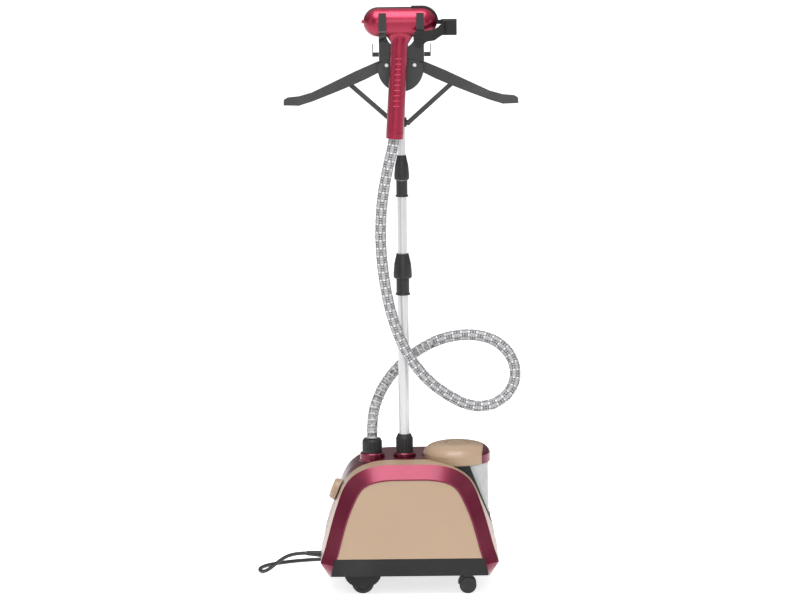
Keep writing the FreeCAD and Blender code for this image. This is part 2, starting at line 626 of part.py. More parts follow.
# The block's front slopes back behind the lever's end, so that the end can be pressed.
block_top = [(80, -47), (80, -65.5), (94, -65.5), (111, -59.5), (111, -47), (80, -47)]
clip = Part.Face(Part.makePolygon([Vector(x, y, clip_low) for x, y in block_top]))
clip = clip.extrude(Vector(0, 0, clip_high - clip_low))
clip = clip.cut(capsule(0.25)).fuse(strap).fuse(box((66, -64, 1138), (86, -48, 1145)).cut(capsule(0.25)))
clip = clip.cut(rod((*clip_pin, 1122), (*clip_pin, 1140), 6.6))
for z in (clip_low + 0.5, 1140):
    clip = clip.fuse(rod((*clip_pin, z), (*clip_pin, z + 4.5), LUG_RADIUS))
    clip = clip.fuse(box((clip_pin[0] - LUG_RADIUS, clip_pin[1], z),
                         (clip_pin[0] + LUG_RADIUS, -62, z + 4.5)))
clip = clip.fuse(rod((*clip_pin, clip_low + 0.5), (*clip_pin, 1144.5), PIN_RADIUS))
shape("clip_body", clip.removeSplitter())


def lever_strip(out):
    """The lever seen from above: a bow round the head's front, out mm proud of its inner line."""
    return [
        Part.Arc(Vector(86 + out, -71, 0), Vector(78 + out, -89 - out, 0),
                 Vector(60, -97 - out, 0)).toShape(),
        Part.LineSegment(Vector(60, -97 - out, 0), Vector(23, -97 - out, 0)).toShape(),
    ]


STRIP_THICK = 3.5
caps = [
    Part.LineSegment(Vector(86, -71, 0), Vector(86 + STRIP_THICK, -71, 0)).toShape(),
    Part.LineSegment(Vector(23, -97, 0), Vector(23, -97 - STRIP_THICK, 0)).toShape(),
]
lever = Part.Face(Part.Wire(Part.__sortEdges__(lever_strip(0) + lever_strip(STRIP_THICK) + caps)))
lever = lever.extrude(Vector(0, 0, 60))
lever.translate(Vector(0, 0, 1090))
# From the front the lever is one flowing outline: broad at its end, narrow in the middle, a rounded pad.
LEVER_OUTLINE = [
    (94, 1145), (84, 1143.5), (73, 1134.5), (61, 1130.4), (44, 1128.3), (31, 1128.4), (26.4, 1123),
    (25.6, 1112), (27.6, 1100.5), (33, 1095.5), (40, 1096), (45, 1100.8), (50.5, 1106.2), (64.5, 1108.8),
    (74, 1114), (84, 1119.5), (94, 1120),
]
flow = Part.BSplineCurve()
flow.interpolate([Vector(x, -140, z) for x, z in LEVER_OUTLINE])
closing = Part.LineSegment(flow.EndPoint, flow.StartPoint).toShape()
lever = lever.common(Part.Face(Part.Wire([flow.toShape(), closing])).extrude(Vector(0, 140, 0)))
end_block = rounded(box((82, -77, clip_low), (110.5, -70, clip_high)), 1.6)
knuckle = rod((*clip_pin, 1122.4), (*clip_pin, 1139.6), KNUCKLE_RADIUS)
knuckle = knuckle.fuse(box((91, -71, 1122.8), (97, -67, 1139.2)))
lever = lever.fuse(end_block).fuse(knuckle).cut(rod((*clip_pin, 1100), (*clip_pin, 1150),
                                                    PIN_RADIUS + 0.05))
for step in range(6):
    z = 1099 + 4.6 * step
    lever = lever.fuse(rod((29, -97 - STRIP_THICK + 0.1, z), (42, -97 - STRIP_THICK + 0.1, z), 1))
shape("clip_lever", lever.removeSplitter())

# ---------------------------------------------------------------- wheels and casters

wheel_width = size("wheel_width")
caster_radius, axle_radius = size("caster_radius"), size("axle_radius")
pins = []
for side, name in ((-1, "front"), (1, "rear")):
    centre_y = side * wheel_y
    wheel = rod((wheel_x, centre_y - wheel_width / 2, wheel_radius),
                (wheel_x, centre_y + wheel_width / 2, wheel_radius),
                wheel_radius)
    wheel = rounded(wheel, 2.5)
    for face in (-1, 1):
        depth = centre_y + face * (wheel_width / 2 + 0.5)
        dish = rod((wheel_x, depth, wheel_radius), (wheel_x, depth - face * 2.5, wheel_radius), 15)
        dish = dish.cut(rod((wheel_x, depth, wheel_radius), (wheel_x, depth - face * 2.5, wheel_radius), 6))
        wheel = wheel.cut(dish)
    wheel = wheel.cut(rod((wheel_x, centre_y - 20, wheel_radius), (wheel_x, centre_y + 20, wheel_radius),
                          axle_radius + 0.05))
    shape(name + "_wheel", wheel)
    pins.append(rod((wheel_x, centre_y - 13.9, wheel_radius), (wheel_x, centre_y + 13.9, wheel_radius),
                    axle_radius - 0.02))

    # A twin-wheel caster: a hood on a swivel stem, with a disc each side of its web.
    caster_at = side * caster_y
    hood = rod((caster_x, caster_at - 3, caster_radius), (caster_x, caster_at + 3, caster_radius), 16)
    hood = hood.common(box((caster_x - 30, caster_at - 3, 7), (caster_x + 30, caster_at + 3, 60)))
    cowl = rod((caster_x, caster_at - 14, caster_radius), (caster_x, caster_at + 14, caster_radius), 20)
    cowl = cowl.cut(rod((caster_x, caster_at - 15, caster_radius),
                        (caster_x, caster_at + 15, caster_radius), 17.8))
    cowl = cowl.common(box((caster_x - 30, caster_at - 14, caster_radius + 3),
                           (caster_x + 30, caster_at + 14, 60)))
    cowl = cowl.cut(slab([(caster_x + 6, 0), (caster_x + 30, 0), (caster_x + 30, 60), (caster_x + 14, 60)],
                         -140, 140))
    hood = hood.fuse(cowl).fuse(box((caster_x - 5, caster_at - 3, 26), (caster_x + 5, caster_at + 3, 36)))
    stem = rod((caster_x, caster_at, 34.6), (caster_x, caster_at, 53), 4)
    collar = rod((caster_x, caster_at, 34.6), (caster_x, caster_at, skirt_low - 0.2), 9)
    hood = hood.fuse(stem).fuse(collar)
    hood = hood.cut(rod((caster_x, caster_at - 20, caster_radius),
                        (caster_x, caster_at + 20, caster_radius), 2.03))
    shape(f"{name}_caster_hood", hood.removeSplitter())
    discs = [rod((caster_x, caster_at - 3.4, caster_radius), (caster_x, caster_at - 13.5, caster_radius),
                 caster_radius),
             rod((caster_x, caster_at + 3.4, caster_radius), (caster_x, caster_at + 13.5, caster_radius),
                 caster_radius)]
    discs = [rounded(disc, 1.5) for disc in discs]
    discs.append(rod((caster_x, caster_at - 12, caster_radius), (caster_x, caster_at + 12, caster_radius),
                     1.98))
    pair = discs[0].fuse(discs[2]).fuse(discs[1])
    shape(f"{name}_caster_wheels", pair.removeSplitter())
shape("wheel_axles", Part.Compound(pins))

# ---------------------------------------------------------------- steam hose and mains lead


def route_tube(route, radius):
    """A tube whose path is straight runs joined by tangent arcs, each as large as its two runs allow."""
    points = [Vector(*p) for p in route]
    edges, start, radii = [], points[0], []
    for before, corner, after in zip(points, points[1:], points[2:]):
        back, forth = (before - corner), (after - corner)
        turn = math.pi - back.getAngle(forth)
        shorter = min(back.Length, forth.Length)
        radii.append(0.45 * shorter / math.tan(turn / 2))
        inset = 0.45 * shorter
        enter, leave = corner + back.normalize() * inset, corner + forth.normalize() * inset
        middle_way = (back + forth).normalize()
        reach = radii[-1] / math.cos(turn / 2) - radii[-1]
        edges.append(Part.LineSegment(start, enter).toShape())
        edges.append(Part.Arc(enter, corner + middle_way * reach, leave).toShape())
        start = leave
    edges.append(Part.LineSegment(start, points[-1]).toShape())
    path = Part.Wire(edges)
    section = Part.Wire([Part.Circle(points[0], points[1] - points[0], radius).toShape()])
    solid = path.makePipeShell([section], True, False, 0)
    share = solid.Volume / (math.pi * radius ** 2 * path.Length)
    print(f"tube length {path.Length:.1f}, volume share {share:.4f}, tightest radius {min(radii):.1f}")
    return solid


HOSE_ROUTE = [
    (-65, 0, 299), (-65, 6, 338), (-54, 16, 378), (-33, 27, 414), (-4, 34, 446), (32, 35, 474),
    (80, 31, 498),
    (136, 26, 506), (186, 17, 495), (219, 6, 462), (226, -6, 420), (207, -16, 385), (168, -23, 365),
    (124, -27, 370), (81, -30, 395), (42, -32, 427), (6, -37, 478), (-20, -44, 542), (-36, -51, 618),
    (-44, -56, 700), (-41, -59, 780), (-29, -60, 848), (-17, -60, 894), (-12.6, -60, 922.6),
]
LEAD_ROUTE = [
    (-203, 60, 50.4), (-222, 60, 50), (-242, 63, 44), (-260, 69, 31), (-276, 78, 15), (-291, 92, 4.5),
    (-300, 112, 3.8), (-298, 138, 3.8), (-282, 162, 3.8), (-255, 181, 3.8), (-222, 196, 3.8),
    (-186, 206, 3.8),
    (-148, 208, 3.8), (-110.6, 198, 3.8),
]
shape("steam_hose", route_tube(HOSE_ROUTE, size("hose_radius")))
lead_radius = size("lead_radius")
shape("mains_lead", route_tube(LEAD_ROUTE, lead_radius))
COIL_CENTRE, COIL_RADIUS = (-78, 237), 41
coil = Part.makeCylinder(COIL_RADIUS + 9, 24, Vector(*COIL_CENTRE, 0.05))
coil = coil.cut(Part.makeCylinder(COIL_RADIUS - 9, 30, Vector(*COIL_CENTRE, -1)))
shape("lead_coil", rounded(coil, 3))
relief = Part.makeCone(7, 4.6, 34, Vector(-168.5, 60, 48), Vector(-1, 0, 0.07))
relief = relief.fuse(rod((-150, 60, 48), (-169, 60, 48), 7.2)).fuse(
    Part.makeCylinder(9.4, 2.6, Vector(-169, 60, 48), Vector(-1, 0, 0)))
shape("strain_relief", relief)
plug = rounded(box((-15, 205, 1), (23, 233, 27)), 5)
plug = plug.fuse(Part.makeCone(4.6, 8, 20, Vector(-32, 219, 12), Vector(1, 0, 0.1)))
for y in (209.5, 228.5):
    plug = plug.fuse(rod((22, y, 14), (42, y, 14), 2.4))
shape("mains_plug", plug)

# ---------------------------------------------------------------- check and export

doc.recompute()
for item in doc.Objects:
    if "Invalid" in item.State or "Error" in item.State:
        raise RuntimeError(f"{item.Label} failed: {item.State}")
os.makedirs("parts", exist_ok=True)
for item in PIECES:
    solids = item.Shape.Solids
    if item.Shape.isNull() or not item.Shape.isValid() or not solids:
        raise RuntimeError(f"{item.Label} has no valid shape")
    item.Shape.exportStep(f"parts/{item.Label}.step")
    print(f"{item.Label}: {len(solids)} solid, {item.Shape.Volume / 1000:.1f} cm3")
print(len(PIECES), "pieces")
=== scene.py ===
import math

import bmesh
import bpy
from mathutils import Matrix, Vector


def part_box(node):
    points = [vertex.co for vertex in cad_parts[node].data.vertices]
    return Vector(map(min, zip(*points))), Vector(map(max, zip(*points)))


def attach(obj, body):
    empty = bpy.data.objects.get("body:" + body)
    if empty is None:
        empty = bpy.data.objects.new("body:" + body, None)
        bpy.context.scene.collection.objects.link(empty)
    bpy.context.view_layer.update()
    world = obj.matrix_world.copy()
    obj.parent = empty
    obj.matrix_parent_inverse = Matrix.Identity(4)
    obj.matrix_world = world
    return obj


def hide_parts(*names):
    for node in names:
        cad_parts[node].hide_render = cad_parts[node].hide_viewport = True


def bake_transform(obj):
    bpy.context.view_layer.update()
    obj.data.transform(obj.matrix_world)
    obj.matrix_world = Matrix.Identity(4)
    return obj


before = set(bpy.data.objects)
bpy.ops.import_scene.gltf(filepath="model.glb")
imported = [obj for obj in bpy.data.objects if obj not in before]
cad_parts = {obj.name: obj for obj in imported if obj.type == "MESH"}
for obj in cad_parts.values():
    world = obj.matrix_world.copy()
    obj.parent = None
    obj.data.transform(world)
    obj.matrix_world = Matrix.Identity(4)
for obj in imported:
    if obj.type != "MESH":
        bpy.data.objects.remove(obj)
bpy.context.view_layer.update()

# Where it stands: a plain pale floor and a high, far camera, turned a little
# so that the pole leans as it does from there.
CAMERA_DISTANCE = 8.0
CAMERA_RISE = math.radians(9.2)
CAMERA_ROLL = math.radians(-0.6)
LOOK_AT = Vector((-0.006, 0, 0.580))

camera_data = bpy.data.cameras.new("camera")
camera_data.lens = 180
camera_data.sensor_width = 36
camera_data.clip_end = 100
camera = bpy.data.objects.new("camera", camera_data)
bpy.context.collection.objects.link(camera)
camera_at = LOOK_AT + CAMERA_DISTANCE * Vector((0, -math.cos(CAMERA_RISE), math.sin(CAMERA_RISE)))
aim = Matrix.Rotation(math.pi / 2 - CAMERA_RISE, 4, "X") @ Matrix.Rotation(CAMERA_ROLL, 4, "Z")
camera.matrix_world = Matrix.Translation(camera_at) @ aim
bpy.context.scene.camera = camera


class Tap:
    """A shader socket that can be used in sums: + - * on values add Math nodes."""

    def __init__(self, tree, socket):
        self.tree, self.socket = tree, socket

    def node(self, kind, settings=None, inputs=None, out=0):
        """Adds any node: its settings first, then the values or links of its sockets."""
        made = self.tree.nodes.new("ShaderNode" + kind)
        for name, value in (settings or {}).items():
            setattr(made, name, value)
        for name, value in (inputs or {}).items():
            if isinstance(value, Tap):
                self.tree.links.new(value.socket, made.inputs[name])
            else:
                made.inputs[name].default_value = value
        return Tap(self.tree, made.outputs[out])

    def maths(self, operation, first, second=0.0):
        """Adds one Math node."""
        return self.node("Math", {"operation": operation}, {0: first, 1: second})

    def __add__(self, other): return self.maths("ADD", self, other)
    def __radd__(self, other): return self.maths("ADD", other, self)
    def __sub__(self, other): return self.maths("SUBTRACT", self, other)
    def __rsub__(self, other): return self.maths("SUBTRACT", other, self)
    def __mul__(self, other): return self.maths("MULTIPLY", self, other)
    def __rmul__(self, other): return self.maths("MULTIPLY", other, self)

    def step(self, low, high):
        """0 below low, 1 above high, smooth between."""
        return self.node("MapRange", {"interpolation_type": "SMOOTHSTEP"}, {"Value": self, 1: low, 2: high})

    def shade(self, dark, light):
        """This value as a blend of two colours."""
        blend = {"data_type": "RGBA"}
        colours = [c if isinstance(c, Tap) else (*c, 1) for c in (dark, light)]
        return self.node("Mix", blend, {0: self, 6: colours[0], 7: colours[1]}, out=2)


def new_finish(name):
    """A material with one Principled shader: gives it, the shader and the object's own coordinates."""
    finish = bpy.data.materials.new(name)
    finish.use_nodes = True
    tree = finish.node_tree
    shader = tree.nodes["Principled BSDF"]
    place = Tap(tree, None).node("TexCoord", out=3)
    return finish, shader, place


def feed(shader, **sockets):
    """Sets or links the shader's sockets; names use _ for a space."""
    for name, value in sockets.items():
        socket = shader.inputs[name.replace("_", " ")]
        if isinstance(value, Tap):
            value.tree.links.new(value.socket, socket)
        else:
            socket.default_value = value


def noise(place, scale, detail=3, rough=0.55):
    """A cloudy pattern from 0 to 1; scale is in clouds to the metre."""
    return place.node("TexNoise", None, {"Vector": place, "Scale": scale, "Detail": detail,
                                         "Roughness": rough})


def bump(height, depth, strength=1.0):
    """A relief of the given depth in metres, for the Normal socket."""
    return height.node("Bump", None, {"Height": height, "Distance": depth, "Strength": strength})


def coat(nodes, finish):
    """Gives CAD nodes a finish."""
    for name in nodes:
        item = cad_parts[name]
        item.data.materials.clear()
        item.data.materials.append(finish)


def soften(nodes, width, segments=3, angle=28):
    """Rounds the moulded or cut edges of CAD nodes by a bevel that leaves their meshes alone."""
    for name in nodes:
        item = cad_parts[name]
        item.data.polygons.foreach_set("use_smooth", [True] * len(item.data.polygons))
        bevel = item.modifiers.new("edges", "BEVEL")
        bevel.width, bevel.segments, bevel.limit_method = width, segments, "ANGLE"
        bevel.angle_limit = math.radians(angle)
        bevel.harden_normals = True


def mesh_piece(name, points, faces, finish):
    """A new object from points and faces."""
    mesh = bpy.data.meshes.new(name)
    mesh.from_pydata([tuple(p) for p in points], [], faces)
    mesh.polygons.foreach_set("use_smooth", [True] * len(mesh.polygons))
    piece = bpy.data.objects.new(name, mesh)
    bpy.context.collection.objects.link(piece)
    mesh.materials.append(finish)
    return piece


# The mains lead: a round rubber flex of 1.8 m with a moulded relief and plug. It drops from the
# casing's left flank, turns behind the base and its spare length is wound in a neat coil there.
rubber, shader, place = new_finish("lead_rubber")
grain = noise(place, 900)
scuffs = noise(place, 30).step(0.4, 0.75)
feed(shader, Base_Color=scuffs.shade((0.012, 0.012, 0.013), (0.028, 0.028, 0.029)),
     Roughness=0.42 + 0.16 * grain, Normal=bump(grain, 0.0001))

LEAD_DIAMETER = 0.0075
LEAD_ROUTE = [
    (-0.203, 0.060, 0.0504), (-0.222, 0.060, 0.050), (-0.242, 0.063, 0.044), (-0.260, 0.069, 0.031),
    (-0.276, 0.078, 0.015), (-0.291, 0.092, 0.0045), (-0.300, 0.112, 0.0038), (-0.298, 0.138, 0.0038),
    (-0.282, 0.162, 0.0038), (-0.255, 0.181, 0.0038), (-0.222, 0.196, 0.0038), (-0.186, 0.206, 0.0038),
    (-0.148, 0.208, 0.0038),
]
COIL_CENTRE = (-0.078, 0.237)
COIL_TURNS, TURN_POINTS, COIL_STACKS = 5.6, 14, 2
STACK_TURNS = COIL_TURNS / COIL_STACKS
COIL_START = math.radians(-118)
COIL_RADIUS, STACK_GAP, COIL_WAVER = 0.0452, 0.0078, 0.0006
TURN_FOOT, TURN_CLIMB, HIGHEST_TURN = 0.0039, 0.0074, 2.3


def lead_coil_points():
    """The coil's turns: rings that climb in a stack, then a second stack inside the first that comes down."""
    points = []
    for i in range(int(COIL_TURNS * TURN_POINTS)):
        turn = i / TURN_POINTS
        angle = COIL_START + 2 * math.pi * turn
        stack = min(int(turn // STACK_TURNS), COIL_STACKS - 1)
        radius = COIL_RADIUS - STACK_GAP * stack + COIL_WAVER * math.sin(3.1 * angle)
        lift = turn % STACK_TURNS if stack == 0 else STACK_TURNS - (turn - STACK_TURNS) % STACK_TURNS
        points.append((COIL_CENTRE[0] + radius * math.cos(angle), COIL_CENTRE[1] + radius * math.sin(angle),
                       TURN_FOOT + TURN_CLIMB * min(lift, HIGHEST_TURN)))
    return points


def flex(name, route, diameter, finish):
    """A round flex along a smooth line with the route's points as its control points."""
    line = bpy.data.curves.new(name, "CURVE")
    line.dimensions = "3D"
    spline = line.splines.new("NURBS")
    spline.points.add(len(route) - 1)
    for point, place_at in zip(spline.points, route):
        point.co = (*place_at, 1)
    spline.order_u = 3
    spline.use_endpoint_u = True
    line.resolution_u = 8
    line.bevel_depth = diameter / 2
    line.bevel_resolution = 5
    line.use_fill_caps = True
    line.materials.append(finish)
    piece = bpy.data.objects.new(name, line)
    bpy.context.collection.objects.link(piece)
    return piece


lead = flex("mains_flex", LEAD_ROUTE + lead_coil_points(), LEAD_DIAMETER, rubber)
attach(lead, "base")
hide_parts("mains_lead", "lead_coil")
coat(["mains_plug"], rubber)
soften(["mains_plug"], 0.001)


def line_points(route, resolution=12):
    """Points along the smooth line that a route's points steer."""
    line = flex("scratch_line", route, 0.0, rubber)
    line.data.resolution_u = resolution
    line.data.use_fill_caps = False
    bpy.context.view_layer.update()
    mesh = bpy.data.meshes.new_from_object(line)
    points = [v.co.copy() for v in mesh.vertices]
    bpy.data.objects.remove(line)
    return points


def even(points, gap):
    """The same line with a point every gap along it."""
    total = sum((b - a).length for a, b in zip(points, points[1:]))
    count = max(2, round(total / gap))
    wanted, travelled, out = 0.0, 0.0, []
    for a, b in zip(points, points[1:]):
        length = (b - a).length
        while wanted <= travelled + length + 1e-9 and len(out) <= count:
            out.append(a.lerp(b, (wanted - travelled) / length if length else 0))
            wanted += total / count
        travelled += length
    return out


def sleeve(name, centres, radius_at, sides, finish):
    """A tube round a line: radius_at gives its radius at a share and distance along it. It carries a map of
    its own, u round it and v along it in metres."""
    side = Vector((0, 1, 0))
    points, rings, travelled = [], [], 0.0
    for i, centre in enumerate(centres):
        ahead = (centres[min(i + 1, len(centres) - 1)] - centres[max(i - 1, 0)]).normalized()
        side = (side - ahead * side.dot(ahead)).normalized()
        up = ahead.cross(side)
        if i:
            travelled += (centre - centres[i - 1]).length
        rings.append(travelled)
        radius = radius_at(i / (len(centres) - 1), travelled)
        for k in range(sides):
            angle = 2 * math.pi * k / sides
            points.append(centre + radius * (math.cos(angle) * side + math.sin(angle) * up))
    faces = []
    for i in range(len(centres) - 1):
        for k in range(sides):
            faces.append((i * sides + k, i * sides + (k + 1) % sides, (i + 1) * sides + (k + 1) % sides,
                          (i + 1) * sides + k))
    faces.append(tuple(range(sides))[::-1])
    faces.append(tuple(range((len(centres) - 1) * sides, len(centres) * sides)))
    piece = mesh_piece(name, points, faces, finish)
    layer = piece.data.uv_layers.new(name="wrap")
    corner = 0
    for i in range(len(centres) - 1):
        for k in range(sides):
            for u, v in ((k, i), (k + 1, i), (k + 1, i + 1), (k, i + 1)):
                layer.data[corner].uv = (u / sides, rings[v])
                corner += 1
    return piece


# The steam hose: a ringed hose of 22.6 mm in a close silver sleeve, woven in blocks with dark knots. The
# sleeve has slid up and bares the rings near the base. It leaves the base's nut, loops and enters the handle.
HOSE_ROUTE = [
    (-0.065, 0.000, 0.299), (-0.065, 0.006, 0.338), (-0.054, 0.016, 0.378), (-0.033, 0.027, 0.414),
    (-0.004, 0.034, 0.446), (0.032, 0.035, 0.474), (0.080, 0.031, 0.498), (0.136, 0.026, 0.506),
    (0.186, 0.017, 0.495), (0.219, 0.006, 0.462), (0.226, -0.006, 0.420), (0.207, -0.016, 0.385),
    (0.168, -0.023, 0.365), (0.124, -0.027, 0.370), (0.081, -0.030, 0.395), (0.042, -0.032, 0.427),
    (0.006, -0.037, 0.478), (-0.020, -0.044, 0.542), (-0.036, -0.051, 0.618), (-0.044, -0.056, 0.700),
    (-0.041, -0.059, 0.780), (-0.029, -0.060, 0.848), (-0.017, -0.060, 0.894), (-0.0126, -0.060, 0.9226),
]
BARE_LENGTH = 0.245
RIB_PITCH = 0.0124

weave, shader, place = new_finish("hose_weave")
wrap = place.node("TexCoord", out=2)
across = wrap.node("SeparateXYZ", None, {0: wrap}, out=0)
along = wrap.node("SeparateXYZ", None, {0: wrap}, out=1)


def fraction(value):
    """The part of a value past its last whole number."""
    return value.maths("FRACT", value)


def off_middle(value):
    """How far a share is from the middle of its cell: 0 there, 0.5 at the border."""
    return value.maths("ABSOLUTE", value - 0.5)


# Nine columns of blocks round the hose, each 16 mm long: knotted ones and plain ones take turns.
BLOCKS_ROUND, BLOCKS_PER_METRE = 9, 62.5
columns, rows = across * BLOCKS_ROUND, along * BLOCKS_PER_METRE
parity = columns.maths("MODULO", columns.maths("FLOOR", columns) + rows.maths("FLOOR", rows), 2.0)
side_gap, end_gap = off_middle(fraction(columns)), off_middle(fraction(rows))
knot_side, knot_end = off_middle(fraction(columns * 2)), off_middle(fraction(rows * 3))
inside = (1 - side_gap.step(0.38, 0.44)) * (1 - end_gap.step(0.34, 0.40))
knots = (1 - knot_side.step(0.30, 0.38)) * (1 - knot_end.step(0.28, 0.36)) * inside * parity
bright_dash = end_gap.step(0.41, 0.45) * (1 - side_gap.step(0.16, 0.24))
edge_line = side_gap.step(0.42, 0.47)
cloth = noise(wrap, 60, 4).shade((0.30, 0.30, 0.31), (0.46, 0.46, 0.47))
cloth = edge_line.shade(cloth, (0.16, 0.16, 0.17))
cloth = bright_dash.shade(cloth, (0.82, 0.82, 0.83))
cloth = knots.shade(cloth, (0.035, 0.035, 0.04))
relief_height = (1 - side_gap) * 0.6 + (1 - knot_end) * 0.5
feed(shader, Base_Color=cloth, Roughness=0.62 - 0.25 * bright_dash, Metallic=0.3 * (1 - knots),
     Normal=bump(relief_height, 0.0006, 0.8))

ribs, shader, place = new_finish("hose_rings")
wrap = place.node("TexCoord", out=2)
along = wrap.node("SeparateXYZ", None, {0: wrap}, out=1)
coarse = noise(place, 190, 4)
crest = off_middle(fraction(along * (1 / RIB_PITCH))).step(0.40, 0.46)
trough = noise(place, 90, 3).step(0.35, 0.65).shade((0.07, 0.07, 0.075), (0.34, 0.34, 0.35))
trough = coarse.step(0.45, 0.62).shade(trough, (0.42, 0.42, 0.43))
feed(shader, Base_Color=crest.shade(trough, (0.62, 0.62, 0.63)), Roughness=0.36 + 0.2 * coarse, Metallic=0.3,
     Normal=bump(coarse, 0.0008))

RING_GAP, HOSE_SIDES = 0.0009, 40
BARE_RADIUS, RIB_RISE, RIB_SHARPNESS = 0.0104, 0.0017, 14
CUFF_LENGTH, CUFF_RADIUS, CUFF_RISE, CUFF_PITCH = 0.015, 0.0111, 0.0007, 0.005
WORN_RADIUS, WORN_RISE, WORN_PITCH = 0.0109, 0.0002, 0.0105
hose_line = even(line_points(HOSE_ROUTE), RING_GAP)


def swell(distance, pitch):
    """1 on each crest and -1 between them."""
    return math.cos(2 * math.pi * distance / pitch)


def hose_radius(share, distance):
    """Thin rings where the hose is bare, a ringed cuff, then the slightly wrinkled sleeve."""
    if distance < BARE_LENGTH:
        return BARE_RADIUS + RIB_RISE * (0.5 + 0.5 * swell(distance, RIB_PITCH)) ** RIB_SHARPNESS
    if distance < BARE_LENGTH + CUFF_LENGTH:
        return CUFF_RADIUS + CUFF_RISE * swell(distance, CUFF_PITCH)
    return WORN_RADIUS + WORN_RISE * swell(distance, WORN_PITCH) + 0.0001 * math.sin(distance * 83)


hose = sleeve("steam_hose_sleeve", hose_line, hose_radius, HOSE_SIDES, weave)
hose.data.materials.append(ribs)
bare_rings = int(BARE_LENGTH / RING_GAP)
for face in hose.data.polygons:
    if face.vertices[0] // HOSE_SIDES < bare_rings:
        face.material_index = 1
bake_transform(hose)
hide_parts("steam_hose")

# The strain relief where the lead leaves the flank: a tapered rubber stem cut by ring slots, moulded
# onto the lead. A flange at its foot holds it in the casing.
RELIEF_FOOT, RELIEF_TIP = Vector((-0.1688, 0.060, 0.048)), Vector((-0.2028, 0.060, 0.0504))
RELIEF_STEPS = 60
FOOT_RADIUS, RELIEF_TAPER = 0.0069, 0.0022
SLOT_PITCH, SLOT_DEPTH = 0.0045, 0.0011
relief_line = [RELIEF_FOOT.lerp(RELIEF_TIP, i / RELIEF_STEPS) for i in range(RELIEF_STEPS + 1)]


def relief_radius(share, distance):
    """A taper towards the tip, slotted everywhere but at its two plain ends."""
    slot = 0.5 + 0.5 * swell(distance, SLOT_PITCH)
    taper = FOOT_RADIUS - RELIEF_TAPER * share
    return taper - (SLOT_DEPTH * slot ** 3 if 0.1 < share < 0.93 else 0)


relief = sleeve("lead_relief", relief_line, relief_radius, 32, rubber)
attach(relief, "base")
coat(["strain_relief"], rubber)

# The casing's maroon trim, rear shell and sockets: moulded plastic under a pearl lacquer, so fine
# flakes glitter through a clear coat. The handset has the same lacquer in a brighter red.


def lacquer(name, deep, light):
    """A pearl lacquer: flakes of metal between a deep and a light tone, under a clear coat."""
    finish, shader, place = new_finish(name)
    flakes = place.node("TexVoronoi", {"feature": "F1"}, {"Vector": place, "Scale": 2600}, out=1)
    flake = flakes.node("SeparateXYZ", None, {0: flakes}, out=0)
    ripple = noise(place, 55, 2)
    feed(shader, Base_Color=(flake * 0.5 + ripple * 0.5).shade(deep, light), Metallic=0.76 + 0.18 * flake,
         Roughness=0.36 + 0.07 * ripple, Coat_Weight=0.5, Coat_Roughness=0.24,
         Normal=bump(ripple, 0.0001, 0.3))
    return finish


maroon = lacquer("maroon_lacquer", (0.120, 0.004, 0.021), (0.205, 0.011, 0.045))
crimson = lacquer("crimson_lacquer", (0.230, 0.005, 0.026), (0.370, 0.013, 0.055))
coat(["front_frame", "rear_frame", "rear_shell", "pole_socket", "hose_socket", "lid_strip"], maroon)
soften(["front_frame", "rear_frame"], 0.0016, 4, 20)
soften(["rear_shell"], 0.001)
soften(["pole_socket", "hose_socket", "lid_strip"], 0.0012)

# The beige front shell, panels, lid and dial: satin moulded plastic with a fine, soft grain. The panels
# sit inside the maroon trim, and the lid closes the tank.
beige, shader, place = new_finish("beige_plastic")
grain = noise(place, 1500, 2)
patches = noise(place, 9, 3)
tone = (patches * 0.7 + grain * 0.3).shade((0.360, 0.250, 0.165), (0.395, 0.278, 0.184))
feed(shader, Base_Color=tone, Roughness=0.30 + 0.10 * grain, Normal=bump(grain, 0.00003, 0.4))
coat(["front_shell", "front_panel", "rear_panel", "tank_lid", "lid_button", "steam_dial"], beige)
soften(["front_shell", "front_panel", "rear_panel"], 0.001)
soften(["tank_lid"], 0.004, 5, 18)
soften(["lid_button", "steam_dial"], 0.0008)

# The dark tray, tank cradle, garment clip and steam plate: charcoal plastic from a spark-eroded mould,
# a little paler where it is rubbed. The tray closes the base from below and holds the wheels.
charcoal, shader, place = new_finish("charcoal_plastic")
spark = noise(place, 1900, 3, 0.7)
rubbed = noise(place, 14, 3).step(0.45, 0.8)
feed(shader, Base_Color=rubbed.shade((0.011, 0.011, 0.012), (0.018, 0.018, 0.019)),
     Roughness=0.50 + 0.18 * spark, Normal=bump(spark, 0.00009, 0.55))
shader.inputs["Specular IOR Level"].default_value = 0.3
coat(["base_tray", "tank_cradle", "clip_body", "clip_lever", "steam_plate"], charcoal)
soften(["base_tray", "tank_cradle"], 0.0012)
soften(["clip_body", "clip_lever", "steam_plate"], 0.0009)

# The hanger's hub, arms and struts: the same plastic, a little smoother, and painted paler than the tray as a
# lit copy of it, a painted lighter tone that stands in for the light on the hub and arms. The arms turn on
# rivets in the hub, and the struts prop them from a ring on the pole.
painted_lit_grey, shader, place = new_finish("hanger_plastic")
spark = noise(place, 1500, 3, 0.7)
rubbed = noise(place, 20, 3).step(0.4, 0.75)
# Painted light: a paler base colour than the tray's same plastic, standing in for the light on the hub and
# arms; the rubbed patches are wear.
feed(shader, Base_Color=rubbed.shade((0.026, 0.026, 0.028), (0.038, 0.038, 0.040)),
     Roughness=0.40 + 0.16 * spark, Normal=bump(spark, 0.00006, 0.5))
hub_and_arms, struts = ["hanger_hub", "arm_left", "arm_right"], ["strut_left", "strut_right"]
coat(hub_and_arms + struts, painted_lit_grey)
soften(hub_and_arms, 0.0034, 4)
soften(struts, 0.0009)

